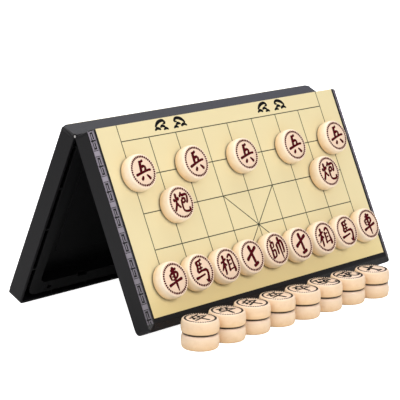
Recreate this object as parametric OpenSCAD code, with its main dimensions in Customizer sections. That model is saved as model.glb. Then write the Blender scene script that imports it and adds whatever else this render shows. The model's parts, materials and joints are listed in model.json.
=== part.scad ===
// Folding chess box for the Chinese game, opened as a tent: two leaning case halves that share
// one hinge rod, a full side of magnetic draughts on the front board and the other side's
// draughts in eight stacks of two in front of it. Millimetres, +Z up, standing on Z = 0.
// Each half is drawn lying down: X along the hinge, -Y away from the hinge, Z = 0 at the rim
// and Z = half_d at the board face. on_front() and on_rear() lean it into place.

/* [Case] */
// Length of the case along the hinge
case_l = 312.5; // [300:0.5:340]
// Width of one half, from the hinge axis to its lower wall
half_w = 165; // [160:0.5:180]
// Depth of one half, from the hinge axis to the board face
half_d = 17.5; // [16:0.5:22]
// Thickness of the outer walls
wall = 2.4; // [1.6:0.1:3]
// Thickness of the plate that carries the board
face_t = 2.6; // [2.2:0.1:3.4]
// Corner radius away from the hinge
corner_r = 4; // [2:0.5:7]
// Corner radius beside the hinge
hinge_corner_r = 3; // [1.5:0.5:4]
// Width of the sloping border that carries the relief
bevel_w = 5.6; // [4:0.1:6.4]
// Fall of the sloping border at its outer edge
bevel_drop = 2.2; // [1:0.1:3]
// Lean of each half from upright
lean = 24.5; // [15:0.5:35]

/* [Board] */
// Black edge and border beside the printed sheet
sheet_side = 7.5; // [6.8:0.1:9]
// Black edge and border below the printed sheet
sheet_low = 9.5; // [6.8:0.1:11]
// Thickness of the printed sheet
sheet_t = 0.3; // [0.2:0.05:0.5]
// Thickness of the steel plate under the sheet
steel_t = 0.5; // [0.3:0.1:0.8]
// Margin of shell kept round the steel plate under the sheet
steel_edge = 3; // [2:0.5:6]
// Margin from the outer files to the sheet's ends
file_margin = 22.75; // [20:0.25:26]
// Margin from the last rank to the sheet's lower edge
rank_margin = 21.6; // [20:0.1:26]
// Distance from the hinge axis to the first rank
river_half = 13.9; // [12:0.1:16]

/* [Hinge] */
// Radius of the steel hinge rod
rod_r = 1; // [0.8:0.1:1.2]
// Radius of the knuckles
knuckle_r = 2.2; // [2:0.1:2.6]
// Number of knuckles along the hinge, an odd number
knuckles = 7; // [5:2:11]
// Set-back of the hinge rod's ends from the case's ends
rod_setback = 0.5; // [0.2:0.1:1.5]
// Radial clearance between rod and bore
rod_play = 0.05; // [0.02:0.01:0.1]
// Gap between a knuckle and the half that turns round it
turn_gap = 0.35; // [0.2:0.05:0.5]
// Set-back of rim and hinge wall from the hinge axis
meet_gap = 0.15; // [0.1:0.05:0.3]

/* [Liner] */
// Width of the open groove between the liner and the lower wall, and the hinge wall
groove = 3.2; // [2:0.1:4.5]
// Width of the open groove between the liner and the ends of the case
groove_end = 5.7; // [2:0.1:7]
// Width of the flange at the ends of the case
flange_end = 10.4; // [10:0.1:16]
// Width of the flange beside the lower wall
flange_low = 11; // [10:0.5:14]
// Width of the flange beside the hinge
flange_hinge = 11; // [10:0.5:14]
// Depth of the flange below the rim
flange_drop = 1.2; // [0.6:0.1:2]
// Thickness of the flange
flange_t = 1.6; // [1.2:0.1:2]
// Thickness of the liner's walls and floor
liner_t = 1.5; // [1:0.1:1.8]
// Outer corner radius of the flange
flange_r = 8; // [5:0.5:10]
// Corner radius of the storage hollow away from the hinge
hollow_r = 6; // [4:0.5:9]
// Corner radius of the storage hollow beside the hinge
hollow_hinge_r = 2; // [1:0.5:4]
// Margin round the raised panel on the liner's floor
panel_margin = 18.5; // [12:0.5:24]
// Height of the raised panel
panel_h = 0.6; // [0.3:0.1:1]
// Spacing of the tabs that bridge the groove
tab_pitch = 40; // [30:1:50]
// Distance from the hinge axis to the first tab
tab_start = 11.5; // [10:0.5:16]
// Width of a tab
tab_w = 1.4; // [1:0.1:2.5]
// Length of the finger notches in the lower flange
notch_l = 10.5; // [6:0.5:14]
// Depth of the finger notches
notch_d = 3; // [1:0.1:3]
// Distance of the finger notches from the ends of the hollow
notch_in = 49.5; // [30:0.5:70]

/* [Fasteners and magnets] */
// Distance of the liner screws from the flange's ends
screw_in = 16; // [15:0.5:30]
// Distance of the screws from the flange's outer edge
screw_edge = 4.6; // [4.4:0.1:5]
// Radius of a screw head
screw_head_r = 2.2; // [1.8:0.1:2.4]
// Height of a screw head
screw_head_h = 0.8; // [0.5:0.1:1]
// Radius of a screw's shank
screw_r = 1.1; // [0.8:0.1:1.3]
// Length of a screw's shank
screw_l = 7; // [5:0.5:8]
// Radius of the bosses that take the screws
boss_r = 2.8; // [2.6:0.1:3]
// Distance of the oval keyhole from the screw
keyhole_x = 7; // [6:0.5:10]
// Width of the oval keyhole
keyhole_w = 3; // [2:0.2:4]
// Length of the oval keyhole
keyhole_l = 4.6; // [4.2:0.2:6]
// Radius of a closing magnet
clasp_r = 3; // [2:0.1:3.2]
// Thickness of a closing magnet
clasp_t = 3; // [1.5:0.5:4]
// Distance of the closing magnets from the flange's ends
clasp_in = 40; // [36:1:60]

/* [Draughts] */
// Gap between draughts on neighbouring files
draught_gap = 1.5; // [1.5:0.1:4]
// Height of a draught
piece_h = 11.5; // [9:0.5:13]
// How far the side swells between its edges
piece_swell = 1; // [0.4:0.1:1.6]
// Radius of the draught's edges
piece_edge = 1.4; // [0.8:0.1:2]
// Distance from a draught's side to the ring cut in its top
ring_in = 3.1; // [2.4:0.1:4]
// Width of the ring
ring_w = 0.9; // [0.4:0.1:1]
// Depth of the ring
ring_deep = 0.2; // [0.1:0.05:0.4]
// Radius of the magnet in the base
magnet_r = 5; // [3:0.5:6]
// Thickness of the magnet
magnet_t = 2.5; // [1.5:0.5:3]
// Set-back of the magnet from the base
magnet_in = 0.2; // [0.1:0.1:0.5]
// Clearance round the magnet and above it
magnet_play = 0.1; // [0.05:0.05:0.2]
// One step of the small shifts that a hand leaves when it sets down a draught
slip = 0.5; // [0:0.1:0.5]
// Gap between neighbouring stacks
stack_gap = 0.3; // [0.3:0.1:1]
// Distance from the front half's foot to the middle of the row of stacks
stack_ahead = 52.9; // [46:0.1:70]
// Gap left between the first stack and the end of the case, along X
stack_in = 0.4; // [0.1:0.1:8]

/* [Hidden] */

case_half = case_l / 2;
bevel_z = half_d - bevel_drop;
inner_z = half_d - face_t;
inner_half = case_half - wall;
corner_steps = 5;
cut = 1;
root = 0.2;
screw_play = 0.2;

// The board's grid fills the sheet, and the draughts are as wide as its files allow
files = 9;
ranks = 5;
middle_file = (files - 1) / 2;
file_pitch = (case_l - 2 * (sheet_side + file_margin)) / (files - 1);
rank_pitch = (half_w - sheet_low - rank_margin - river_half) / (ranks - 1);
piece_d = file_pitch - draught_gap;
ring_r = piece_d / 2 - ring_in;

// The liner's plan: its flange, and the hollow inside it
flange_half = inner_half - groove_end;
flange_y_low = -half_w + wall + groove;
flange_y_high = -meet_gap - wall - groove;
flange_z = meet_gap + flange_drop;
hollow_half = flange_half - flange_end;
hollow_y_low = flange_y_low + flange_low;
hollow_y_high = flange_y_high - flange_hinge;
floor_z = inner_z - liner_t;
notch_x = hollow_half - notch_in;
screw_x = flange_half - screw_in;
clasp_x = flange_half - clasp_in;
screw_y_low = flange_y_low + screw_edge;
screw_y_high = flange_y_high - screw_edge;
clasp_z = flange_z + flange_t;

// The knuckles share the rod's length, and the front half owns the first and the last
rod_l = case_l - 2 * rod_setback;
knuckle_pitch = rod_l / knuckles;

// The red draughts: name, file, rank, and how many slips the hand left each from its crossing,
// to the right and away from the hinge
red_set = [
    ["red_chariot_left", 0, 4, 1, -7], ["red_horse_left", 1, 4, 0, -8],
    ["red_elephant_left", 2, 4, 1, -7], ["red_advisor_left", 3, 4, -1, -10],
    ["red_general", 4, 4, 0, -11], ["red_advisor_right", 5, 4, 0, -9],
    ["red_elephant_right", 6, 4, 2, -9], ["red_horse_right", 7, 4, 0, -10],
    ["red_chariot_right", 8, 4, 1, -12],
    ["red_cannon_left", 1, 2, 3, -2], ["red_cannon_right", 7, 2, 3, 1],
    ["red_soldier_1", 0, 1, 5, -4], ["red_soldier_2", 2, 1, 2, -2],
    ["red_soldier_3", 4, 1, -1, 2], ["red_soldier_4", 6, 1, 0, 3],
    ["red_soldier_5", 8, 1, -9, 2]];

// The stacks, left to right: upper draught, lower draught, and how many slips in front of the row
black_set = [
    ["black_soldier_1", "black_chariot_left", 0], ["black_soldier_2", "black_horse_left", 1],
    ["black_soldier_3", "black_elephant_left", 0], ["black_soldier_4", "black_advisor_left", 1],
    ["black_soldier_5", "black_general", 4], ["black_cannon_left", "black_elephant_right", 2],
    ["black_cannon_right", "black_horse_right", 3],
    ["black_advisor_right", "black_chariot_right", 8]];
stack_pitch = piece_d + stack_gap;
stack_x = -case_half + stack_in + piece_d / 2;
stack_y = half_w * sin(lean) + stack_ahead;
stack_front = slip * max([for (s = black_set) s[2]]);

// The halves stand on the rim of their lower walls; the whole is centred on its own box
hinge_z = half_w * cos(lean) - meet_gap * sin(lean);
box_back = half_w * sin(lean) + bevel_z * cos(lean);
box_front = stack_y + stack_front + piece_d / 2;
hinge_y = (box_front - box_back) / 2;

BLACK = [0.09, 0.09, 0.10];
LINER = [0.06, 0.06, 0.065];
SHEET = [0.93, 0.87, 0.66];
STEEL = [0.72, 0.73, 0.75];
MAPLE = [0.93, 0.80, 0.62];
PALE_MAPLE = [0.90, 0.76, 0.56];

module on_front() translate([0, hinge_y, hinge_z]) rotate([90 - lean, 0, 0]) children();
module on_rear() translate([0, hinge_y, hinge_z]) rotate([lean - 90, 0, 0]) rotate([0, 0, 180])
    children();

// Points of a quarter circle from angle a
function quarter(cx, cy, r, a) =
    [for (i = [0:corner_steps]) [cx + r * cos(a + 90 * i / corner_steps),
                                 cy + r * sin(a + 90 * i / corner_steps)]];

// A rectangle from y_low to y_high, with one radius at the low corners and one at the high ones
function panel(half, y_low, y_high, r_low, r_high) = concat(
    quarter(half - r_high, y_high - r_high, r_high, 0),
    quarter(-half + r_high, y_high - r_high, r_high, 90),
    quarter(-half + r_low, y_low + r_low, r_low, 180),
    quarter(half - r_low, y_low + r_low, r_low, 270));

module slab(z_low, z_high, points)
    translate([0, 0, z_low]) linear_extrude(z_high - z_low) polygon(points);

// The places of the four liner screws
module at_screws()
    for (x = [-screw_x, screw_x], y = [screw_y_low, screw_y_high]) translate([x, y, 0]) children();

// The places of the two closing magnets
module at_clasps() for (x = [-clasp_x, clasp_x]) translate([x, screw_y_low, 0]) children();

// Outer form of one half: a rounded block whose board edges slope down on three sides
module shell_block() intersection() {
    slab(meet_gap, half_d, panel(case_half, -half_w, -meet_gap, corner_r, hinge_corner_r));
    rotate([90, 0, 0]) linear_extrude(half_w + cut) polygon([
        [-case_half, 0], [case_half, 0], [case_half, bevel_z],
        [case_half - bevel_w, half_d], [-case_half + bevel_w, half_d], [-case_half, bevel_z]]);
    rotate([90, 0, 90]) translate([0, 0, -case_half]) linear_extrude(case_l) polygon([
        [0, 0], [0, half_d], [-half_w + bevel_w, half_d], [-half_w, bevel_z], [-half_w, 0]]);
}

// A cylinder on the hinge axis that fills the k-th knuckle's stretch, longer by grow at each end
module on_axis(k, r, grow)
    translate([-rod_l / 2 + k * knuckle_pitch + turn_gap / 2 - grow, 0, 0]) rotate([0, 90, 0])
        cylinder(r = r, h = knuckle_pitch - turn_gap + 2 * grow, $fn = 48);

// One half of the case: first is 0 where it owns the even knuckles, 1 where it owns the odd ones
module half_shell(first) difference() {
    union() {
        difference() {
            shell_block();
            slab(0, inner_z, panel(inner_half, -half_w + wall, -meet_gap - wall,
                max(corner_r - wall, 0.8), max(hinge_corner_r - wall, 0.6)));
        }
        for (k = [first:2:knuckles - 1]) on_axis(k, knuckle_r, 0);
        at_screws() translate([0, 0, clasp_z])
            cylinder(r = boss_r, h = inner_z - clasp_z + root, $fn = 32);
        at_clasps() translate([0, 0, clasp_z + clasp_t])
            cylinder(r = clasp_r, h = inner_z - clasp_z - clasp_t + root, $fn = 32);
    }
    for (k = [1 - first:2:knuckles - 1]) on_axis(k, knuckle_r + turn_gap, turn_gap);
    translate([-case_half - cut, 0, 0]) rotate([0, 90, 0])
        cylinder(r = rod_r + rod_play, h = case_l + 2 * cut, $fn = 32);
    at_screws() translate([0, 0, clasp_z - cut])
        cylinder(r = screw_r, h = screw_l + screw_head_h - flange_t + cut, $fn = 24);
    sheet_space(sheet_t, 0);
    sheet_space(sheet_t + steel_t, steel_edge);
}

// The recess in the board face, deep mm down and edge mm inside the sheet's outline
module sheet_space(deep, edge)
    translate([-case_half + sheet_side + edge, -half_w + sheet_low + edge, half_d - deep])
        cube([case_l - 2 * (sheet_side + edge),
              half_w - sheet_low - edge - (edge > 0 ? meet_gap + edge : 0) + (edge > 0 ? 0 : cut),
              deep + cut]);

module steel_plate()
    translate([-case_half + sheet_side + steel_edge, -half_w + sheet_low + steel_edge,
               half_d - sheet_t - steel_t])
        cube([case_l - 2 * (sheet_side + steel_edge),
              half_w - sheet_low - 2 * steel_edge - meet_gap, steel_t]);

module board_sheet()
    translate([-case_half + sheet_side, -half_w + sheet_low, half_d - sheet_t])
        cube([case_l - 2 * sheet_side, half_w - sheet_low - meet_gap, sheet_t]);

// A tab that bridges the groove from the flange to the outer wall, pointing along +X
module tab(reach)
    translate([-flange_r / 2, -tab_w / 2, flange_z]) cube([flange_r / 2 + reach, tab_w, flange_t]);

// The liner: a flange just below the rim and a shallow storage hollow inside it
module liner() {
    difference() {
        union() {
            slab(flange_z, flange_z + flange_t,
                panel(flange_half, flange_y_low, flange_y_high, flange_r, flange_r));
            slab(flange_z, inner_z, panel(hollow_half + liner_t, hollow_y_low - liner_t,
                hollow_y_high + liner_t, hollow_r + liner_t, hollow_hinge_r + liner_t));
            for (y = [-tab_start:-tab_pitch:flange_y_low + flange_r], side = [0, 180])
                translate([side > 0 ? -flange_half : flange_half, y, 0]) rotate([0, 0, side])
                    tab(groove_end);
            for (x = [0:tab_pitch:flange_half - flange_r], s = [-1, 1])
                if (x > 0 || s > 0) translate([s * x, flange_y_low, 0]) rotate([0, 0, -90])
                    tab(groove);
        }
        slab(0, floor_z, panel(hollow_half, hollow_y_low, hollow_y_high, hollow_r,
            hollow_hinge_r));
        for (s = [-1, 1]) translate([s * notch_x - notch_l / 2, hollow_y_low - notch_d, 0])
            cube([notch_l, 2 * notch_d, flange_z + flange_t + cut]);
        at_screws() {
            cylinder(r = screw_head_r + screw_play, h = flange_z + screw_head_h, $fn = 32);
            cylinder(r = screw_r + screw_play, h = flange_z + flange_t + cut, $fn = 24);
        }
        for (s = [-1, 1]) translate([s * (screw_x - keyhole_x), screw_y_low, 0]) keyhole();
    }
    slab(floor_z - panel_h, floor_z + root, panel(hollow_half - panel_margin,
        hollow_y_low + panel_margin, hollow_y_high - panel_margin, hollow_r, hollow_r));
}

// An oval hole through the flange
module keyhole() {
    span = keyhole_l - keyhole_w;
    for (s = [-1, 1]) translate([s * span / 2, 0, 0])
        cylinder(r = keyhole_w / 2, h = clasp_z + cut, $fn = 24);
    translate([-span / 2, -keyhole_w / 2, 0]) cube([span, keyhole_w, clasp_z + cut]);
}

module liner_screws() at_screws() {
    translate([0, 0, flange_z]) cylinder(r = screw_head_r, h = screw_head_h, $fn = 32);
    translate([0, 0, flange_z]) cylinder(r = screw_r, h = screw_l + screw_head_h, $fn = 24);
}

module closing_magnets() at_clasps() translate([0, 0, clasp_z])
    cylinder(r = clasp_r, h = clasp_t, $fn = 32);

// Radius of a draught's side at height z: widest half way up, drawn in at both edges
function side_r(z) = piece_d / 2 - piece_swell * pow(2 * z / piece_h - 1, 2);

// One draught standing on Z = 0: a turned disc with a ring in its top, and a magnet in its base
module draught() {
    steps = 8;
    rim = side_r(piece_edge) - piece_edge;
    difference() {
        rotate_extrude($fn = 64) polygon(concat(
            [[0, 0]],
            [for (p = quarter(rim, piece_edge, piece_edge, 270)) p],
            [for (i = [1:steps - 1]) let (z = piece_edge + i * (piece_h - 2 * piece_edge) / steps)
                [side_r(z), z]],
            [for (p = quarter(rim, piece_h - piece_edge, piece_edge, 0)) p],
            [[0, piece_h]]));
        rotate_extrude($fn = 64) translate([ring_r - ring_w / 2, piece_h - ring_deep])
            square([ring_w, 2 * ring_deep]);
        translate([0, 0, -cut])
            cylinder(r = magnet_r + magnet_play, h = magnet_in + magnet_t + magnet_play + cut, $fn = 32);
    }
    translate([0, 0, magnet_in]) cylinder(r = magnet_r, h = magnet_t, $fn = 32);
}

// A red draught on the front board, near the crossing of its file and rank
module red_draught(p) color(MAPLE) on_front()
    translate([(p[1] - middle_file) * file_pitch + slip * p[3],
               -river_half - p[2] * rank_pitch - slip * p[4], half_d])
        draught();

// A black draught of stack k, on the ground or on the draught below
module black_draught(k, level) color(PALE_MAPLE)
    translate([stack_x + k * stack_pitch, hinge_y - stack_y - slip * black_set[k][2],
               level * piece_h])
        draught();

module front_shell() color(BLACK) on_front() half_shell(0);
module rear_shell() color(BLACK) on_rear() half_shell(1);
module front_liner() color(LINER) on_front() liner();
module rear_liner() color(LINER) on_rear() liner();
module front_steel_plate() color(STEEL) on_front() steel_plate();
module rear_steel_plate() color(STEEL) on_rear() steel_plate();
module front_board_sheet() color(SHEET) on_front() board_sheet();
module rear_board_sheet() color(SHEET) on_rear() board_sheet();
module front_closing_magnets() color(STEEL) on_front() closing_magnets();
module rear_closing_magnets() color(STEEL) on_rear() closing_magnets();
module front_liner_screws() color(STEEL) on_front() liner_screws();
module rear_liner_screws() color(STEEL) on_rear() liner_screws();
module hinge_rod() color(STEEL) translate([-rod_l / 2, hinge_y, hinge_z]) rotate([0, 90, 0])
    cylinder(r = rod_r, h = rod_l, $fn = 32);

front_shell();
rear_shell();
front_liner();
rear_liner();
front_steel_plate();
rear_steel_plate();
front_board_sheet();
rear_board_sheet();
hinge_rod();
front_closing_magnets();
rear_closing_magnets();
front_liner_screws();
rear_liner_screws();
for (p = red_set) red_draught(p);
for (k = [0:len(black_set) - 1]) {
    black_draught(k, 1);
    black_draught(k, 0);
}
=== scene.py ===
"""Looks of a folding magnetic xiangqi box that stands open as a tent.

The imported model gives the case, its liners, hinge rod and fasteners, and the place of every
draught. This script gives the case its softened edges and key-pattern border, prints the board,
turns and inks the draughts, finishes every surface, and sets up the floor, lamps and camera.
A half of the case is worked out lying down, in its own axes: X along the hinge, -Y away from the
hinge, Z = 0 at the rim and Z = its depth at the board face. Lengths there are in millimetres.
"""
import json
import math

import bmesh
import bpy
import numpy as np
from mathutils import Matrix, Vector

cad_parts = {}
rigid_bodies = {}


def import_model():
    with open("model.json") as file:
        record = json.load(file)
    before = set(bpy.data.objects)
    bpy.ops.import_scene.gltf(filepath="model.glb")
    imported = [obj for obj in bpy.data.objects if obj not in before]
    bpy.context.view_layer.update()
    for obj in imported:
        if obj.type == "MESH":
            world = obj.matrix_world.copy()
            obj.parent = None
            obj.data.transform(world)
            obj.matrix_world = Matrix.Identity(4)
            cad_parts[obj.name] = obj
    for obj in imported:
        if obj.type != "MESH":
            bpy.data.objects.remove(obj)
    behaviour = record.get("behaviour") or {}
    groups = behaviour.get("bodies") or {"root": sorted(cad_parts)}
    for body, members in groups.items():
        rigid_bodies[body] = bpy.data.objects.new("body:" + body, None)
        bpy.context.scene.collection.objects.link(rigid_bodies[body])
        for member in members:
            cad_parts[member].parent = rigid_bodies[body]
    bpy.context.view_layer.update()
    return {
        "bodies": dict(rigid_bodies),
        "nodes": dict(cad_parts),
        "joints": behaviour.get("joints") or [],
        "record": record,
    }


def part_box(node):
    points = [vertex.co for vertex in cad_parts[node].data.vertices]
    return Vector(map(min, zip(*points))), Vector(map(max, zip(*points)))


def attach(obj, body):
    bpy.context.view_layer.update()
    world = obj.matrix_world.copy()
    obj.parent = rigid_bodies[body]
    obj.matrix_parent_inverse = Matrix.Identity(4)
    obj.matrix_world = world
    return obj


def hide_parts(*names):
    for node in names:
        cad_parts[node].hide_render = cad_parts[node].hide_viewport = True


bl_info = {
    "name": "Folding Xiangqi Box",
    "version": (1, 0, 0),
    "blender": (4, 5, 0),
    "location": "View3D > Sidebar > Xiangqi Box",
    "description": "Dresses a folding magnetic xiangqi box: case, printed board and draughts",
    "category": "Object",
}

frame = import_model()

MM = 0.001
# Points of a mesh nearer to each other than WELD, in metres, are one point. An edge of the case,
# of the print and border, or of a draught is sharp if it turns by more degrees than its angle.
WELD = 2e-6
CASE_ANGLE, PRINT_ANGLE, DRAUGHT_ANGLE = 25, 20, 40
HALVES = ("front", "rear")
RED_BODIES = [b for b in frame["bodies"] if b.startswith("red_")]
BLACK_BODIES = [b for b in frame["bodies"] if b.startswith("black_")]
hinge = next(j for j in frame["joints"] if j["name"] == "case_hinge")
face_normal = next(m for m in frame["record"]["mounts"] if m["name"] == "rear_board_face")["axis"]
LEAN = math.asin(face_normal[2])


def half_place(half):
    """Leans a half that is drawn lying down: a turn about X by the lean, at the hinge's place.

    The rear half is the front one turned half way round Z first.
    """
    turn = Matrix.Rotation(math.pi / 2 - LEAN, 4, "X")
    if half == "rear":
        turn = Matrix.Rotation(LEAN - math.pi / 2, 4, "X") @ Matrix.Rotation(math.pi, 4, "Z")
    return Matrix.Translation(hinge["pos_m"]) @ turn @ Matrix.Scale(MM, 4)


def node_points(node):
    """A CAD node's corners in the row frame, in metres, as an array of rows."""
    mesh = frame["nodes"][node].data
    points = np.empty(len(mesh.vertices) * 3)
    mesh.vertices.foreach_get("co", points)
    return points.reshape(-1, 3)


def moved(points, place):
    """The points, one a row, after the matrix place."""
    m = np.array(place)
    return points @ m[:3, :3].T + m[:3, 3]


def lying_box(node, half):
    """Lowest and highest corner of a node in its half's own axes, in millimetres."""
    points = moved(node_points(node), half_place(half).inverted())
    return points.min(axis=0), points.max(axis=0)


SHELL_LOW, SHELL_HIGH = lying_box("front_shell", "front")
SHEET_LOW, SHEET_HIGH = lying_box("front_board_sheet", "front")
DRAUGHT_R = (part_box("black_soldier_1")[1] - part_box("black_soldier_1")[0]).x / 2 / MM
DRAUGHT_H = (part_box("black_soldier_1")[1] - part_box("black_soldier_1")[0]).z / MM


class BoardSizes(bpy.types.PropertyGroup):
    """Sizes of the printed board and of the case's border, in millimetres."""

    file_margin: bpy.props.FloatProperty(
        name="File Margin", description="Outer files to the sheet's ends", default=22.75, min=15)
    rank_margin: bpy.props.FloatProperty(
        name="Rank Margin", description="Last rank to the sheet's lower edge", default=21.6, min=15)
    river_half: bpy.props.FloatProperty(
        name="River Half", description="Hinge axis to the first rank", default=13.9, min=8)
    line: bpy.props.FloatProperty(
        name="Line Width", description="Width of a printed line", default=0.78, min=0.2)
    ink_h: bpy.props.FloatProperty(
        name="Ink Height", description="How far printed ink stands above the sheet", default=0.03)
    bevel_w: bpy.props.FloatProperty(
        name="Border Width", description="Width of the sloping border", default=5.6, min=3)
    bevel_drop: bpy.props.FloatProperty(
        name="Border Fall", description="Fall of the sloping border", default=2.2, min=0.5)
    relief: bpy.props.FloatProperty(
        name="Relief Height", description="Height of the key pattern", default=0.3, min=0.1)
    key_period: bpy.props.FloatProperty(
        name="Key Period", description="Spacing of the pairs of keys", default=20.9, min=12)


class DraughtSizes(bpy.types.PropertyGroup):
    """Sizes of a draught's form and of its inked top, in millimetres."""

    swell: bpy.props.FloatProperty(
        name="Swell", description="How far the side swells between its edges", default=1.1, min=0)
    edge: bpy.props.FloatProperty(
        name="Edge", description="Radius of the upper edge", default=1.5, min=0.4)
    foot: bpy.props.FloatProperty(
        name="Foot", description="Radius of the lower edge", default=2.1, min=0.4)
    ring_in: bpy.props.FloatProperty(
        name="Ring Inset", description="Side to the ring of dashes", default=3.1, min=1)
    dash_w: bpy.props.FloatProperty(
        name="Dash Width", description="Width of a dash", default=2.2, min=0.3)
    dashes: bpy.props.IntProperty(
        name="Dashes", description="Number of dashes in the ring", default=40, min=24)
    mark: bpy.props.FloatProperty(
        name="Mark Size", description="Half the size of a rank's mark", default=9.0, min=4)
    ink_h: bpy.props.FloatProperty(
        name="Ink Height", description="How far ink stands above the top", default=0.05)
    magnet_r: bpy.props.FloatProperty(
        name="Magnet Radius", description="Radius of the magnet in the base", default=5, min=2)


class Finishes(bpy.types.PropertyGroup):
    """Colours of the box's finishes."""

    case: bpy.props.FloatVectorProperty(
        name="Case", description="Black plastic of the case", subtype="COLOR", size=3,
        default=(0.0045, 0.004, 0.005))
    # The border keys' pale grey is a painted reflection of the lamps on black plastic.
    relief: bpy.props.FloatVectorProperty(
        name="Border", description="Raised keys of the border", subtype="COLOR", size=3,
        default=(0.195, 0.165, 0.21))
    liner: bpy.props.FloatVectorProperty(
        name="Liner", description="Black plastic of the liners", subtype="COLOR", size=3,
        default=(0.0035, 0.0035, 0.004))
    sheet: bpy.props.FloatVectorProperty(
        name="Board", description="Pale yellow of the printed sheet", subtype="COLOR", size=3,
        default=(0.775, 0.66, 0.385))
    line: bpy.props.FloatVectorProperty(
        name="Lines", description="Printed lines", subtype="COLOR", size=3,
        default=(0.045, 0.05, 0.035))
    river: bpy.props.FloatVectorProperty(
        name="River", description="Printed waves of the river", subtype="COLOR", size=3,
        default=(0.006, 0.006, 0.007))
    wood: bpy.props.FloatVectorProperty(
        name="Wood", description="Pale turned wood", subtype="COLOR", size=3,
        default=(0.92, 0.745, 0.53))
    red_ink: bpy.props.FloatVectorProperty(
        name="Red Ink", description="Ink of the red side", subtype="COLOR", size=3,
        default=(0.068, 0.0006, 0.004))
    black_ink: bpy.props.FloatVectorProperty(
        name="Black Ink", description="Ink of the black side", subtype="COLOR", size=3,
        default=(0.005, 0.004, 0.004))


class Wire:
    """A shader socket that takes arithmetic: an expression on wires adds its Math nodes."""

    def __init__(self, tree, socket):
        self.tree = tree
        self.socket = socket

    def _math(self, operation, first, second):
        node = self.tree.nodes.new("ShaderNodeMath")
        node.operation = operation
        for socket, value in zip(node.inputs, (first, second)):
            if isinstance(value, Wire):
                self.tree.links.new(value.socket, socket)
            else:
                socket.default_value = value
        return Wire(self.tree, node.outputs[0])

    def __add__(self, other):
        return self._math("ADD", self, other)

    def __radd__(self, other):
        return self._math("ADD", other, self)

    def __sub__(self, other):
        return self._math("SUBTRACT", self, other)

    def __rsub__(self, other):
        return self._math("SUBTRACT", other, self)

    def __mul__(self, other):
        return self._math("MULTIPLY", self, other)

    def __rmul__(self, other):
        return self._math("MULTIPLY", other, self)


class Finish:
    """One material: its tree, its Principled shader, and a method for every other node."""

    def __init__(self, name, **sockets):
        self.material = bpy.data.materials.new(name)
        self.material.use_nodes = True
        self.tree = self.material.node_tree
        self.shader = self.tree.nodes["Principled BSDF"]
        for socket, value in sockets.items():
            self.set(socket.replace("_", " ").title().replace("Ior", "IOR"), value)

    def set(self, socket, value):
        if isinstance(value, Wire):
            self.tree.links.new(value.socket, self.shader.inputs[socket])
        elif isinstance(value, (tuple, list)):
            self.shader.inputs[socket].default_value = (*value[:3], 1)
        else:
            self.shader.inputs[socket].default_value = value

    def node(self, kind, settings=(), output=0, **sockets):
        """Adds a node: its settings first, then the values or wires of its sockets.

        A socket goes by its name, or by i and its number where several share a name.
        """
        node = self.tree.nodes.new(kind)
        for key, value in dict(settings).items():
            setattr(node, key, value)
        for key, value in sockets.items():
            numbered = key[0] == "i" and key[1:].isdigit()
            socket = node.inputs[int(key[1:]) if numbered else key.replace("_", " ")]
            if isinstance(value, Wire):
                self.tree.links.new(value.socket, socket)
            else:
                socket.default_value = value
        return Wire(self.tree, node.outputs[output])

    def object_coords(self):
        return self.node("ShaderNodeTexCoord", output=3)

    def attribute(self, name):
        """A stored attribute: grain is a vector, level a number."""
        return self.node("ShaderNodeAttribute", {"attribute_name": name},
                         output=1 if name == "grain" else 2)

    def stretched(self, vector, scale):
        return self.node("ShaderNodeMapping", Vector=vector, Scale=scale)

    def noise(self, vector, scale, detail, roughness=0.5):
        return self.node("ShaderNodeTexNoise", Vector=vector, Scale=scale, Detail=detail,
                         Roughness=roughness)

    def mix(self, factor, first, second):
        """A colour between two colours, by factor."""
        colours = [c if isinstance(c, Wire) else (*c[:3], 1) for c in (first, second)]
        return self.node("ShaderNodeMix", {"data_type": "RGBA"}, output=2, i0=factor,
                         i6=colours[0], i7=colours[1])

    def ramp(self, factor, low, high):
        """Factor stretched so that low becomes 0 and high becomes 1, held between them."""
        return self.node("ShaderNodeMapRange", Value=factor, From_Min=low, From_Max=high)

    def bump(self, height, strength, distance):
        self.set("Normal", self.node("ShaderNodeBump", Height=height, Strength=strength,
                                     Distance=distance))


def shaded(colour, factor):
    """A colour times a number."""
    return tuple(min(c * factor, 1) for c in colour)


def tinted(colour, factors):
    """A colour with each channel times its own number."""
    return tuple(c * f for c, f in zip(colour, factors))


def plastic_finish(name, colour, roughness, ior=1.42):
    """Moulded black plastic: a fine spark-eroded texture, cloudy gloss and faint handling marks."""
    finish = Finish(name, ior=ior)
    coords = finish.object_coords()
    cloud = finish.noise(coords, 14, 4)
    grain = finish.noise(coords, 2600, 2)
    smear = finish.noise(finish.stretched(coords, (6, 60, 60)), 6, 3)
    finish.set("Base Color", finish.mix(cloud, shaded(colour, 0.8), shaded(colour, 1.25)))
    finish.set("Roughness", roughness - 0.06 + cloud * 0.07 + smear * 0.06)
    finish.bump(grain, 0.12, 0.00012)
    return finish.material


def relief_finish(colour):
    """The border's raised keys, painted pale grey for a reflection: paler the nearer they are to
    the hinge, and black at the foot, a painted shade.
    """
    finish = Finish("relief_plastic", ior=1.5)
    coords = finish.object_coords()
    cloud = finish.noise(coords, 60, 3)
    height = finish.node("ShaderNodeSeparateXYZ", output=2, Vector=coords)
    # Painted light: the keys' pale grey rises from about a third at 1.4 cm above the ground to full
    # at 14 cm; below 1 cm a painted shade leaves them nearly black.
    painted_sheen = finish.ramp(height, 0.010, 0.014) * (0.35 + finish.ramp(height, 0.01, 0.14) * 0.65)
    finish.set("Base Color", finish.mix(painted_sheen + cloud * 0.15, shaded(colour, 0.1), colour))
    finish.set("Roughness", 0.36 + cloud * 0.1)
    finish.bump(finish.noise(coords, 1800, 2), 0.15, 0.0001)
    return finish.material


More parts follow.
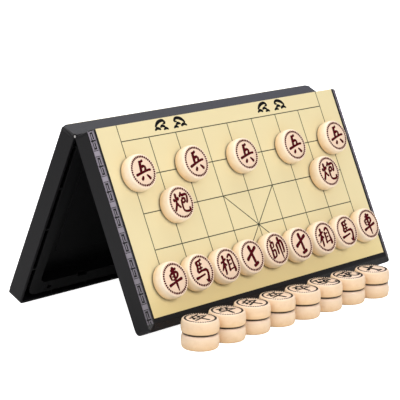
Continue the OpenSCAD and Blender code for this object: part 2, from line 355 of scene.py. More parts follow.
def sheet_finish(colour):
    """Printed film: pale yellow with faint clouds, a satin face and a fine orange peel.

    Near the ground it is painted darker and yellower, a painted shade.
    """
    finish = Finish("board_film", ior=1.32)
    coords = finish.object_coords()
    cloud = finish.noise(coords, 9, 4)
    flecks = finish.noise(coords, 900, 2)
    tone = cloud * 0.75 + flecks * 0.25
    height = finish.node("ShaderNodeSeparateXYZ", output=2, Vector=coords)
    # Painted shade: from 5 cm above the ground down to 1 cm the film turns darker and yellower.
    painted_low_shade = finish.mix(finish.ramp(height, 0.05, 0.01), colour, tinted(colour, (0.95, 0.89, 0.68)))
    clean = tinted(colour, (1.03, 1.04, 1.08))
    finish.set("Base Color", finish.mix(tone * 0.5, painted_low_shade, finish.mix(0.5, painted_low_shade, clean)))
    finish.set("Roughness", 0.46 + cloud * 0.1)
    finish.bump(finish.noise(coords, 700, 2), 0.06, 0.0002)
    return finish.material


def print_finish(name, colour):
    """Screen-printed ink: a flat colour that is a little uneven, with a satin face."""
    finish = Finish(name, ior=1.15)
    coords = finish.object_coords()
    patch = finish.noise(coords, 420, 3)
    finish.set("Base Color", finish.mix(patch, shaded(colour, 0.75), shaded(colour, 1.35)))
    finish.set("Roughness", 0.5 + patch * 0.3)
    return finish.material


def wood_finish(name, colour, top_colour):
    """Turned pale wood under clear lacquer.

    Long growth bands and short flecks run along the grain, which is the attribute's X axis. The
    attribute level is the height above the draught's foot in millimetres, and 1 more inside the
    ring. Below the belly the side is painted warmer and darker, a painted shade, and above it
    paler, a painted highlight; the top is pinker, its middle darker, and the foot's edge is
    painted dark and dull, a painted contact shadow where it meets something.
    """
    finish = Finish(name, coat_roughness=0.2, ior=1.45)
    grain = finish.attribute("grain")
    bands = finish.noise(finish.stretched(grain, (12, 150, 150)), 1.4, 3, 0.55)
    fibre = finish.noise(finish.stretched(grain, (70, 1500, 1500)), 1.2, 2)
    flecks = finish.ramp(finish.noise(finish.stretched(grain, (220, 1900, 1900)), 1, 2), 0.60, 0.78)
    dark = tinted(colour, (0.95, 0.90, 0.84))
    pale = tinted(colour, (1.05, 1.06, 1.09))
    tone = finish.ramp(bands * 0.7 + fibre * 0.3, 0.30, 0.66)
    body = finish.mix(flecks * 0.3, finish.mix(tone, dark, pale), shaded(dark, 0.8))
    level = finish.attribute("level")
    belly, rim = 6.5, DRAUGHT_H - 0.8
    middle = tinted(top_colour, (0.97, 0.92, 0.89))
    # Painted light: below the belly a warm painted shade, above it a paler painted highlight, then
    # the top's pinker tone and its darker middle.
    for low, high, strength, tint in (
            (belly, 1.0, 0.85, (0.80, 0.53, 0.26)),
            (belly, rim, 0.6, tinted(colour, (1.05, 1.15, 1.32))),
            (DRAUGHT_H - 0.5, DRAUGHT_H - 0.1, 0.8, top_colour),
            (DRAUGHT_H + 0.4, DRAUGHT_H + 0.9, 0.5, middle)):
        body = finish.mix(finish.ramp(level, low, high) * strength, body, tint)
    # Painted contact shadow: the foot's edge turns dark brown, loses its coat and goes rough.
    foot = finish.ramp(level, 2.0, 1.3)
    finish.set("Base Color", finish.mix(foot, body, (0.022, 0.010, 0.005)))
    finish.set("Coat Weight", 0.5 - foot * 0.5)
    finish.set("Roughness", 0.36 + fibre * 0.14 + foot * 0.45)
    finish.bump(fibre, 0.10, 0.0002)
    return finish.material


def steel_finish(name, colour, roughness):
    """Drawn steel: fine lines along X and a cloudy gloss."""
    finish = Finish(name, metallic=1.0)
    coords = finish.object_coords()
    lines = finish.noise(finish.stretched(coords, (30, 2400, 2400)), 1, 2)
    finish.set("Base Color", finish.mix(lines, shaded(colour, 0.85), shaded(colour, 1.1)))
    finish.set("Roughness", roughness + lines * 0.12)
    return finish.material


def soft_mesh(name, parts, place, materials, angle):
    """A mesh of (points, faces, finish) parts, moved to its place, smooth up to the angle."""
    points, faces, finishes = joined(parts)
    mesh = bpy.data.meshes.new(name)
    for material in materials:
        mesh.materials.append(material)
    mesh.from_pydata(moved(points, place).tolist(), [], [list(map(int, f)) for f in faces])
    mesh.polygons.foreach_set("material_index", finishes)
    mesh.update()
    mesh.shade_smooth()
    mesh.set_sharp_from_angle(angle=math.radians(angle))
    return mesh


def add_piece(mesh, body, replaced=()):
    """Puts a finished mesh in the scene: the body it rides on, and what it replaces."""
    piece = bpy.data.objects.new(mesh.name, mesh)
    bpy.context.scene.collection.objects.link(piece)
    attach(piece, body)
    if replaced:
        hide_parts(*replaced)
    return piece


def joined(parts):
    """One list of points, faces and finish numbers from several (points, faces, finish) parts."""
    points, faces, finishes, start = [], [], [], 0
    for part_points, part_faces, finish in parts:
        points.append(part_points)
        faces += [[start + i for i in face] for face in part_faces]
        finishes += [finish] * len(part_faces)
        start += len(part_points)
    return np.vstack(points), faces, finishes


def box_part(low, high, finish, chamfer=0.0):
    """A closed block from low to high whose top is drawn in by the chamfer on every side."""
    x, y, z = (np.array([a, b]) for a, b in zip(low, high))
    inset = np.array([[1, 1], [-1, 1], [-1, -1], [1, -1]]) * chamfer
    ring = np.array([[x[0], y[0]], [x[1], y[0]], [x[1], y[1]], [x[0], y[1]]])
    points = np.vstack([np.column_stack([ring, np.full(4, z[0])]),
                        np.column_stack([ring, np.full(4, z[1] - chamfer)]),
                        np.column_stack([ring + inset, np.full(4, z[1])])])
    sides = [[r + i, r + (i + 1) % 4, r + 4 + (i + 1) % 4, r + 4 + i]
             for r in (0, 4) for i in range(4)]
    return points, [[3, 2, 1, 0], [8, 9, 10, 11]] + sides, finish


def smooth_line(knots, count):
    """Count points on a Catmull-Rom curve through the knots, closer together at both ends.

    Each stretch blends its four nearest knots with the usual cubic weights; the parameter runs
    as (1 - cos(pi u)) / 2, and the end knots are doubled by reflection.
    """
    knots = np.asarray(knots, float)
    ends = np.vstack([2 * knots[0] - knots[1], knots, 2 * knots[-1] - knots[-2]])
    t = (1 - np.cos(np.pi * np.linspace(0, 1, count))) / 2 * (len(knots) - 1)
    i = np.minimum(t.astype(int), len(knots) - 2)
    u = (t - i)[:, None]
    a, b, c, d = (ends[i + k] for k in range(4))
    return 0.5 * (2 * b + (c - a) * u + (2 * a - 5 * b + 4 * c - d) * u**2
                  + (3 * b - a - 3 * c + d) * u**3)


def stroke_part(knots, low, high, finish, count=18):
    """A brush stroke as a thin closed solid from z low to z high.

    The knots are (x, y, half width). The outline lies half a width to each side of the smooth
    line, and near an end, within one half width d of it, the width is that of a round tip,
    w * sqrt(1 - (1 - d / w)^2), but never less than the blunt share of w.
    """
    blunt = 0.02
    line = smooth_line(knots, count)
    xy, width = line[:, :2], line[:, 2]
    along = np.gradient(xy, axis=0)
    along /= np.linalg.norm(along, axis=1)[:, None] + 1e-9
    reach = np.concatenate([[0], np.cumsum(np.linalg.norm(np.diff(xy, axis=0), axis=1))])
    nearest = np.minimum(reach, reach[-1] - reach)
    tip = np.sqrt(np.clip(1 - np.clip(1 - nearest / width, 0, 1) ** 2, blunt ** 2, 1))
    side = np.column_stack([-along[:, 1], along[:, 0]]) * (width * tip)[:, None]
    left, right = xy + side, xy - side
    rows = [np.column_stack([p, np.full(count, z)]) for z in (low, high) for p in (left, right)]
    i = np.arange(count - 1)
    base_l, base_r, top_l, top_r = (i + k * count for k in range(4))
    quads = [np.column_stack([top_r, top_r + 1, top_l + 1, top_l]),
             np.column_stack([base_l, base_l + 1, base_r + 1, base_r]),
             np.column_stack([base_l + 1, base_l, top_l, top_l + 1]),
             np.column_stack([base_r, base_r + 1, top_r + 1, top_r])]
    last = count - 1
    caps = [[0, count, 3 * count, 2 * count],
            [last + count, last, last + 2 * count, last + 3 * count]]
    return np.vstack(rows), np.vstack(quads).tolist() + caps, finish


def turned_part(profile, turns, finish):
    """A closed turned form: each (radius, height) of the profile is carried round the Z axis.

    Point k of a ring lies at the angle 2 pi k / turns.
    """
    profile = np.asarray(profile, float)
    angle = np.linspace(0, 2 * np.pi, turns, endpoint=False)
    ring = np.column_stack([np.cos(angle), np.sin(angle)])
    r, z = profile[:, 0], profile[:, 1]
    heights = np.broadcast_to(z[:, None, None], (len(r), turns, 1))
    points = np.concatenate([r[:, None, None] * ring[None], heights], axis=2).reshape(-1, 3)
    row, col = np.meshgrid(np.arange(len(r) - 1), np.arange(turns), indexing="ij")
    after = (col + 1) % turns
    faces = np.stack([row * turns + col, row * turns + after, (row + 1) * turns + after,
                      (row + 1) * turns + col], axis=-1).reshape(-1, 4)
    return points, faces.tolist(), finish


def closed_up(mesh):
    """Merges the points of a mesh that coincide, so that poles and seams are closed."""
    work = bmesh.new()
    work.from_mesh(mesh)
    bmesh.ops.remove_doubles(work, verts=work.verts, dist=WELD)
    bmesh.ops.dissolve_degenerate(work, edges=work.edges, dist=WELD / 2)
    work.to_mesh(mesh)
    work.free()
    mesh.update()


# Rank marks on a square from -1 to 1: each brush stroke is a list of knots, which are (x, y) or
# (x, y, width), the width in brushes. They are the game's usual signs, drawn here in strokes of
# this script's own. WRAPPED is the part that both cannons share.
WRAPPED = [[(0.22, 0.95), (0.08, 0.72), (-0.10, 0.50)],
           [(0.14, 0.62), (0.80, 0.68), (0.78, 0.10), (0.60, -0.08)],
           [(0.10, 0.32), (0.50, 0.34), (0.47, -0.02)], [(0.14, -0.02), (0.47, 0.0)],
           [(0.10, 0.30), (0.06, -0.55), (0.30, -0.82), (0.80, -0.80), (0.92, -0.45)]]
MARKS = {
    "soldier_red": [
        [(0.24, 0.98), (0.0, 0.86), (-0.34, 0.84)], [(-0.14, 0.86), (-0.22, 0.35), (-0.26, -0.16)],
        [(-0.20, 0.34), (0.16, 0.44), (0.34, 0.28), (0.24, -0.02)],
        [(-0.98, -0.34), (-0.2, -0.14), (0.50, 0.02), (0.96, 0.04)],
        [(-0.14, -0.44, 0.7), (-0.26, -0.66, 1.0), (-0.44, -0.80, 0.9)],
        [(0.30, -0.36, 0.6), (0.50, -0.56, 0.9), (0.70, -0.82, 1.2)]],
    "chariot": [
        [(-0.34, 0.70), (0.0, 0.77), (0.42, 0.90)],
        [(-0.48, 0.46, 1.0), (-0.44, 0.06, 0.7), (-0.34, -0.12, 0.7)],
        [(-0.46, 0.42, 0.7), (0.28, 0.58, 0.8), (0.46, 0.34, 0.9), (0.18, 0.03, 0.6),
         (-0.28, -0.13, 0.55)],
        [(-0.30, 0.17, 0.6), (0.16, 0.27, 0.55)],
        [(-0.92, -0.56, 1.25), (-0.1, -0.32, 0.85), (0.90, -0.05, 1.2)],
        [(-0.02, 1.08, 1.25), (0.02, 0.2, 0.8), (0.07, -0.5, 0.8), (0.12, -1.12, 0.3)]],
    "horse": [
        [(-0.40, 0.94, 1.2), (-0.36, 0.40, 0.8), (-0.50, -0.08, 0.8)],
        [(-0.38, 0.86, 0.8), (0.0, 0.93, 0.7), (0.32, 1.04, 1.1)],
        [(0.04, 0.90, 0.6), (0.0, 0.45, 0.55), (-0.04, 0.04, 0.55)],
        [(-0.34, 0.52, 0.6), (0.28, 0.64, 0.75)], [(-0.40, 0.20, 0.6), (0.26, 0.30, 0.75)],
        [(-0.50, -0.10, 0.9), (0.10, 0.01, 0.7), (0.66, 0.0, 1.1), (0.72, -0.45, 0.95),
         (0.52, -1.0, 1.15), (0.28, -0.80, 0.45)],
        [(-0.94, -0.60, 1.3), (-0.3, -0.48, 0.8), (0.38, -0.34, 0.7)]],
    "minister": [
        [(-0.92, 0.28, 1.0), (-0.5, 0.42, 0.85), (-0.12, 0.58, 1.1)],
        [(-0.46, 0.96, 1.2), (-0.50, 0.2, 0.85), (-0.56, -0.66, 0.9), (-0.70, -0.84, 0.4)],
        [(-0.48, 0.34, 0.9), (-0.72, -0.12, 0.9), (-0.98, -0.44, 0.4)],
        [(-0.44, 0.20, 0.6), (-0.22, -0.06, 1.1)],
        [(0.04, 0.52, 1.1), (0.06, 0.0, 0.8), (-0.02, -0.66, 0.9)],
        [(0.06, 0.58, 0.7), (0.40, 0.84, 0.9), (0.62, 0.60, 0.9), (0.66, 0.0, 0.85),
         (0.72, -0.64, 1.2), (0.52, -0.72, 0.5)],
        [(0.20, 0.30, 0.7), (0.48, 0.37, 0.7)], [(0.18, -0.05, 0.7), (0.48, 0.02, 0.7)],
        [(0.04, -0.50, 0.7), (0.60, -0.42, 0.7)]],
    "advisor": [
        [(-0.86, -0.24, 1.35), (-0.05, 0.25, 1.0), (0.78, 0.74, 1.4)],
        [(-0.14, 1.06, 1.35), (0.02, 0.2, 1.0), (0.14, -0.72, 1.1)],
        [(-0.24, -0.92, 1.3), (0.22, -0.82, 1.1), (0.54, -0.66, 1.35)]],
    "general_red": [
        [(-0.54, 1.0, 0.6), (-0.72, 0.74, 1.1)],
        [(-0.76, 0.62, 1.1), (-0.76, 0.0, 0.8), (-0.80, -0.84, 1.0)],
        [(-0.74, 0.60, 0.7), (-0.36, 0.70, 0.9), (-0.38, 0.24, 0.7)],
        [(-0.72, 0.20, 0.6), (-0.40, 0.27, 0.6)],
        [(-0.72, -0.12, 0.6), (-0.34, -0.04, 0.9), (-0.38, -0.66, 0.8)],
        [(-0.76, -0.72, 0.8), (-0.36, -0.62, 0.8)],
        [(0.04, 0.48, 1.1), (0.04, 0.0, 0.85), (0.0, -0.56, 0.8)],
        [(0.06, 0.46, 0.7), (0.78, 0.60, 1.1), (0.82, -0.36, 0.9), (0.62, -0.50, 0.5)],
        [(0.42, 1.08, 1.2), (0.44, 0.0, 0.9), (0.46, -1.1, 0.4)]],
    "cannon_red": [
        [(-0.88, 0.44), (-0.76, 0.12)], [(-0.24, 0.56), (-0.40, 0.22)],
        [(-0.56, 0.92), (-0.56, 0.20), (-0.72, -0.30), (-0.98, -0.72)],
        [(-0.54, 0.0), (-0.40, -0.24), (-0.16, -0.46)]] + WRAPPED,
    "soldier_black": [
        [(0.0, 0.98), (0.06, 0.78)], [(-0.74, 0.62), (0.0, 0.68), (0.76, 0.78)],
        [(-0.32, 0.60), (-0.50, 0.32), (-0.76, 0.12)], [(-0.40, 0.38), (-0.10, 0.12)],
        [(0.36, 0.62), (0.22, 0.34), (0.02, 0.14)], [(0.30, 0.42), (0.76, 0.14)],
        [(-0.94, -0.16), (0.0, -0.08), (0.94, 0.04)], [(0.0, 0.08), (0.0, -0.40), (0.0, -1.0)]],
    "cannon_black": [
        [(-0.95, 0.70), (-0.15, 0.80)], [(-0.52, 0.72), (-0.70, 0.24), (-0.96, -0.10)],
        [(-0.72, 0.10), (-0.70, -0.55)], [(-0.72, 0.10), (-0.22, 0.16), (-0.26, -0.50)],
        [(-0.70, -0.48), (-0.26, -0.44)]] + WRAPPED,
    "elephant": [
        [(-0.06, 0.98), (-0.26, 0.76), (-0.52, 0.58)], [(-0.14, 0.82), (0.42, 0.88), (0.14, 0.58)],
        [(-0.56, 0.54), (-0.48, 0.18)], [(-0.56, 0.54), (0.60, 0.60), (0.50, 0.22)],
        [(-0.48, 0.17), (0.50, 0.22)], [(0.02, 0.56), (-0.12, 0.14), (-0.80, -0.22)],
        [(-0.04, 0.10), (0.26, -0.20), (0.24, -0.72), (-0.06, -0.86)],
        [(0.12, -0.16), (-0.22, -0.38), (-0.66, -0.52)],
        [(0.22, -0.38), (-0.16, -0.72), (-0.74, -0.94)],
        [(0.74, 0.04), (0.34, -0.20)], [(0.28, -0.22), (0.52, -0.56), (0.92, -0.84)]],
    "general_black": [
        [(-0.74, 0.80), (-0.74, 0.24)], [(-0.90, 0.20), (-0.36, 0.28)],
        [(-0.34, 0.92), (-0.34, 0.0), (-0.36, -0.92)], [(-0.90, -0.18), (-0.38, -0.10)],
        [(-0.66, -0.14), (-0.74, -0.52), (-0.92, -0.84)],
        [(0.26, 0.96), (0.10, 0.72), (-0.08, 0.56)],
        [(0.18, 0.80), (0.72, 0.86), (0.46, 0.48), (0.06, 0.20)], [(0.20, 0.60), (0.32, 0.48)],
        [(-0.14, -0.04), (0.40, 0.02), (0.92, 0.10)],
        [(0.60, 0.34), (0.60, -0.40), (0.56, -0.88), (0.36, -0.70)],
        [(0.08, -0.24), (0.26, -0.46)]],
}
# Half the brush's width on the same square, and the order of a draught's materials.
BRUSH = 0.150
WOOD, INK, MAGNET = range(3)


def mark_of(body):
    """The rank mark of a draught, from its name."""
    side, rank = body.split("_")[:2]
    if rank in ("soldier", "general", "cannon"):
        return f"{rank}_{side}"
    return "minister" if (side, rank) == ("red", "elephant") else rank


def draught_profile(sizes):
    """Radii and heights up a draught's side, from its flat foot to its flat top.

    The side is R - swell * (2 z / h - 1)^2, and each edge is a quarter circle.
    """
    def side(z):
        return DRAUGHT_R - sizes.swell * (2 * z / DRAUGHT_H - 1) ** 2

    edge, foot = sizes.edge, sizes.foot
    rim, base = side(edge) - edge, side(foot) - foot
    turn = np.linspace(0, np.pi / 2, 8)
    z = np.linspace(foot, DRAUGHT_H - edge, 13)[1:-1]
    lower = np.column_stack([base + foot * np.sin(turn), foot * (1 - np.cos(turn))])
    upper = np.column_stack([rim + edge * np.cos(turn), DRAUGHT_H - edge * (1 - np.sin(turn))])
    return np.vstack([lower, np.column_stack([side(z), z]), upper])


def draught_parts(sizes, body):
    """The turned disc, the magnet in its base, the ring of dashes and the rank's mark.

    The ring's groove has half widths outer and inner at its top and floor, and the dashes fill a
    share of it. The magnet sits in a bore, a little back from the base.
    """
    groove = DRAUGHT_R - sizes.ring_in
    outer, inner, floor_z = 0.9, 0.8, DRAUGHT_H - 0.06
    top = [(groove + outer, DRAUGHT_H), (groove + inner, floor_z), (groove - inner, floor_z),
           (groove - outer, DRAUGHT_H), (groove / 2, DRAUGHT_H), (0, DRAUGHT_H)]
    bore_r, bore_top, chamfer = sizes.magnet_r + 0.1, 2.8, 0.15
    base = [(0, bore_top), (bore_r, bore_top), (bore_r, chamfer), (bore_r + chamfer, 0)]
    profile = np.vstack([base, draught_profile(sizes), top])
    set_back, bevel, magnet_top = 0.2, 0.2, bore_top - 0.1
    magnet = [(0, set_back), (sizes.magnet_r - bevel, set_back),
              (sizes.magnet_r, set_back + bevel), (sizes.magnet_r, magnet_top), (0, magnet_top)]
    parts = [turned_part(profile, 80, WOOD), turned_part(magnet, 40, MAGNET)]
    filled = 0.84
    half_turn = filled * np.pi / sizes.dashes
    for angle in np.arange(sizes.dashes) * 2 * np.pi / sizes.dashes:
        ends = [(groove * np.cos(a), groove * np.sin(a), sizes.dash_w / 2)
                for a in (angle - half_turn, angle + half_turn)]
        parts.append(stroke_part(ends, floor_z, DRAUGHT_H + sizes.ink_h, INK, 8))
    return parts + mark_parts(sizes, MARKS[mark_of(body)])


def mark_parts(sizes, strokes):
    """A rank's mark, each stroke a little higher than the one before it.

    A knot with no width of its own has that of a plain stroke: broad at its start, then slimmer.
    Upright strokes are broader than level ones, and marks of eight strokes or more are finer.
    """
    parts = []
    for layer, stroke in enumerate(strokes):
        (x0, y0), (x1, y1) = stroke[0][:2], stroke[-1][:2]
        upright = abs(y1 - y0) / (abs(x1 - x0) + abs(y1 - y0) + 1e-6)
        brush = BRUSH * (0.74 + 0.40 * upright) * (1.0 if len(strokes) < 8 else 0.86)
        plain = [1.15] + [0.92] * (len(stroke) - 2) + [0.98]
        knots = np.array([(*knot[:2], brush * (knot[2] if len(knot) > 2 else width))
                          for knot, width in zip(stroke, plain)]) * sizes.mark
        lift = sizes.ink_h * (1 + 0.04 * layer)
        parts.append(stroke_part(knots, DRAUGHT_H - 0.02, DRAUGHT_H + lift, INK))
    return parts


def draught_place(body, spin):
    """Where a draught stands: on the board for the red side, upright for the black side."""
    low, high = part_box(body)
    up, tilt = Vector((0, 0, 1)), Matrix()
    if body in RED_BODIES:
        up = Vector((0, -math.cos(LEAN), math.sin(LEAN)))
        tilt = Matrix.Rotation(math.pi / 2 - LEAN, 4, "X")
    foot = (low + high) / 2 - up * (DRAUGHT_H / 2 * MM)
    return Matrix.Translation(foot) @ tilt @ Matrix.Rotation(spin, 4, "Z") @ Matrix.Scale(MM, 4)


def add_draught(body, spin, grain_turn, materials):
    """One draught, with the attributes grain and level that its wood asks for.

    The grain's axes are the draught's own, turned, tipped and shifted. A draught on the ground
    counts as raised a little, because nothing below it casts the painted contact shadow at its
    foot.
    """
    sizes = bpy.context.scene.draught_sizes
    parts = draught_parts(sizes, body)
    points = np.vstack([part[0] for part in parts])
    place = draught_place(body, spin)
    mesh = soft_mesh(body + "_turned", parts, place, materials, DRAUGHT_ANGLE)
    c, s, tip = math.cos(grain_turn), math.sin(grain_turn), 0.06
    grain = points @ np.array([[c, s, 0], [-s, c, tip], [0, -tip, 1]]) * MM
    grain += np.array([0.7, 0.31, 0.05]) * grain_turn
    attribute = mesh.attributes.new("grain", "FLOAT_VECTOR", "POINT")
    attribute.data.foreach_set("vector", grain.astype(np.float32).ravel())
    # A draught on the ground gets no painted contact shadow at its foot.
    raised = 1.9 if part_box(body)[0].z < MM else 0.0
    inside = np.hypot(points[:, 0], points[:, 1]) < DRAUGHT_R - sizes.ring_in
    inside &= points[:, 2] > DRAUGHT_H - 0.1
    attribute = mesh.attributes.new("level", "FLOAT", "POINT")
    attribute.data.foreach_set("value", (points[:, 2] + raised + inside).astype(np.float32))
    closed_up(mesh)
    mesh.set_sharp_from_angle(angle=math.radians(DRAUGHT_ANGLE))
    add_piece(mesh, body, [body])


def line_part(start, end, width, z, height):
    """A printed line from start to end as a thin block, as long as its ends ask."""
    start, end = np.array(start, float), np.array(end, float)
    along = (end - start) / np.linalg.norm(end - start)
    side = np.array([-along[1], along[0]]) * width / 2
    ring = np.array([start - side, end - side, end + side, start + side])
    points = np.vstack([np.column_stack([ring, np.full(4, z)]),
                        np.column_stack([ring, np.full(4, z + height)])])
    sides = [[i, (i + 1) % 4, 4 + (i + 1) % 4, 4 + i] for i in range(4)]
    return points, [[3, 2, 1, 0], [4, 5, 6, 7]] + sides, 0


def board_print_parts(sizes):
    """What is printed on a half board: the grid, the corner marks and the river's waves.

    The grid has nine files, of which the outer two cross the river, five ranks, and the palace's
    two diagonals. Lines that cross differ a little in height, so that no faces share a plane.
    """
    z, ink, width = SHEET_HIGH[2], sizes.ink_h, sizes.line
    span = (SHEET_HIGH[0] - SHEET_LOW[0]) - 2 * sizes.file_margin
    files = np.linspace(-span / 2, span / 2, 9)
    last = SHEET_LOW[1] + sizes.rank_margin
    ranks = np.linspace(-sizes.river_half, last, 5)
    left, right = files[0] - width / 2, files[-1] + width / 2
    parts = [line_part((left, y), (right, y), width, z, ink) for y in ranks]
    for k, x in enumerate(files):
        top = SHEET_HIGH[1] if k in (0, 8) else ranks[0]
        parts.append(line_part((x, top), (x, last), width, z, ink * 1.02))
    for a, b, rise in ((3, 5, 1.04), (5, 3, 1.06)):
        parts.append(line_part((files[a], ranks[2]), (files[b], ranks[4]), width, z, ink * rise))
    gap, length = 1.5, 5.0
    spots = [(k, 1) for k in (0, 2, 4, 6, 8)] + [(1, 2), (7, 2)]
    for k, r in spots:
        for sx in (-1, 1):
            if (k == 0 and sx < 0) or (k == 8 and sx > 0):
                continue
            for sy in (-1, 1):
                x, y = files[k] + sx * gap, ranks[r] + sy * gap
                parts.append(line_part((x, y), (x + sx * length, y), width / 2, z, ink))
                parts.append(line_part((x, y), (x, y + sy * length), width / 2, z, ink * 1.02))
    return parts + river_parts(files, z, ink)


def river_parts(files, z, height):
    """The river's ornament on one half: two pairs of rolling waves beside the hinge.

    A wave is a crest that curls over three shorter ripples, in brush strokes, and every second
    one is mirrored.
    """
    wave = [[(-3.8, -2.8, 0.5), (-1.6, 0.8, 0.9), (1.8, 2.2, 0.8), (3.4, -0.2, 0.6),
             (1.6, -0.8, 0.35)],
            [(-4.6, -5.4, 0.4), (-2.6, -3.8, 0.8), (-0.4, -5.2, 0.6)],
            [(-0.6, -3.4, 0.4), (1.2, -2.4, 0.8), (3.0, -3.8, 0.5)],
            [(1.4, -5.8, 0.4), (3.2, -4.8, 0.75), (4.8, -6.0, 0.35)]]
    middles = (files[1] + 17, files[2] + 8, files[5] + 19, files[6] + 10)
    stretch, brush, off_hinge = 1.7, 1.6, -4.4
    parts = []
    for k, middle in enumerate(middles):
        across = -stretch if k % 2 else stretch
        for stroke in wave:
            knots = [(middle + across * x, off_hinge + y, brush * w) for x, y, w in stroke]
            parts.append(stroke_part(knots, z, z + height * 1.2, 1))
    return parts


# A border strip's width and its keys, and the order of the border's materials.
STRIP_W = 5.6
KEY_LENGTH = 7.45
KEY_GAP = 1.0
KEY_PAIR = 2 * KEY_LENGTH + KEY_GAP
TOPS, FIELD, LOW = range(3)


def key_path(start, flip):
    """One key of the border, as the centre line of its ribs: a square spiral that turns inwards.

    A point is (along the strip, across it); a flip below 0 mirrors the key along the strip.
    """
    path = [(6.95, 0.3), (0.5, 0.3), (0.5, 3.5), (6.95, 3.5), (6.95, 1.75), (2.6, 1.75)]
    return [(start + (a if flip > 0 else KEY_LENGTH - a), c) for a, c in path]


def relief_parts(length, rise, period, first):
    """The raised border of one strip: rails, plain blocks and pairs of mirrored keys.

    Keys are drawn in ribs over a plate, the matt field between them. The first pair starts at
    first, which may lie before the strip, and both ends cut the pattern off.
    """
    rib, rail, edge, gap, inset, shortest = 0.70, 0.4, 0.3, 0.4, 0.2, 0.2
    block_chamfer, rib_chamfer = 0.08, 0.07
    low, high = edge + rail, STRIP_W - edge - rail
    blocks = [(0, length, y, y + rail, block_chamfer) for y in (edge, high)]
    for start in np.arange(first - (period if first > 0 else 0), length, period):
        blocks.append((start + KEY_PAIR + gap, start + period - gap, low, high, block_chamfer))
        for k, flip in enumerate((1, -1)):
            path = key_path(start + k * (KEY_LENGTH + KEY_GAP), flip)
            for (a, b), (c, d) in zip(path, path[1:]):
                blocks.append((min(a, c) - rib / 2, max(a, c) + rib / 2,
                               low + inset + min(b, d) - rib / 2,
                               low + inset + max(b, d) + rib / 2, rib_chamfer))
    parts = [box_part((0, edge, -0.05), (length, STRIP_W - edge, 0.06), FIELD)]
    for x0, x1, y0, y1, chamfer in blocks:
        x0, x1 = max(x0, 0), min(x1, length)
        if x1 - x0 > shortest:
            parts.append(box_part((x0, y0, 0), (x1, y1, rise), TOPS, chamfer))
    return parts


def strip_place(kind, sizes):
    """The place of a border strip in a half's own axes: along, inwards up the slope, and out."""
    slope = math.atan2(sizes.bevel_drop, sizes.bevel_w)
    z = SHELL_HIGH[2] - sizes.bevel_drop
    c, s = math.cos(slope), math.sin(slope)
    if kind == "left":
        along, across, at = Vector((0, -1, 0)), Vector((c, 0, s)), (SHELL_LOW[0], SHELL_HIGH[1], z)
    elif kind == "right":
        along, across, at = Vector((0, 1, 0)), Vector((-c, 0, s)), (SHELL_HIGH[0], SHELL_LOW[1], z)
    else:
        along, across, at = Vector((1, 0, 0)), Vector((0, c, s)), (SHELL_LOW[0], SHELL_LOW[1], z)
    out = along.cross(across)
    m = Matrix((along, across, out)).transposed().to_4x4()
    m.translation = Vector(at)
    return m


def case_copy(node, name, material):
    """A CAD node's form with its loose triangles merged, its flats whole and its edges weighted.

    An edge that turns by more than the case's angle and is longer than the shortest gets the
    weight for rounding, apart from those at the hinge's knuckles, where clearances are small.
    """
    shortest, knuckles, flat_angle = 1.0 * MM, 4 * MM, 0.6
    mesh = frame["nodes"][node].data.copy()
    mesh.name = name
    mesh.materials.clear()
    mesh.materials.append(material)
    work = bmesh.new()
    work.from_mesh(mesh)
    bmesh.ops.remove_doubles(work, verts=work.verts, dist=WELD)
    bmesh.ops.dissolve_limit(work, angle_limit=math.radians(flat_angle), verts=work.verts,
                             edges=work.edges)
    axis = Vector(hinge["pos_m"])
    weight = work.edges.layers.float.new("bevel_weight_edge")
    for edge in work.edges:
        away = min(math.hypot(v.co.y - axis.y, v.co.z - axis.z) for v in edge.verts)
        turned = len(edge.link_faces) == 2 and edge.calc_face_angle(0) > math.radians(CASE_ANGLE)
        edge[weight] = float(turned and away > knuckles and edge.calc_length() > shortest)
    work.to_mesh(mesh)
    work.free()
    mesh.shade_smooth()
    mesh.set_sharp_from_angle(angle=math.radians(CASE_ANGLE))
    return mesh


def soften(piece, width):
    """Rounds a piece's weighted edges to the width, in millimetres."""
    bevel = piece.modifiers.new("soft_edges", "BEVEL")
    bevel.limit_method = "WEIGHT"
    bevel.width = width * MM
    bevel.segments = 3
    bevel.use_clamp_overlap = False
    flats = piece.modifiers.new("flat_normals", "WEIGHTED_NORMAL")
    flats.keep_sharp = True
    flats.weight = 100


class XIANGQI_OT_case(bpy.types.Operator):
    """Dresses the two shells and liners with softened edges and moulded black plastic."""

    bl_idname = "xiangqi.case"
    bl_label = "Case"

    def execute(self, context):
        colours = context.scene.finishes
        case = plastic_finish("case_plastic", colours.case, 0.38, 1.32)
        lining = plastic_finish("liner_plastic", colours.liner, 0.36, 1.36)
        for half in HALVES:
            for part, slot, material, width in (("shell", "case_plastic", case, 0.25),
                                                ("liner", "liner_plastic", lining, 0.2)):
                node = f"{half}_{part}"
                mesh = case_copy(node, node + "_moulded", material)
                soften(add_piece(mesh, half + "_half", [node]), width)
        return {"FINISHED"}


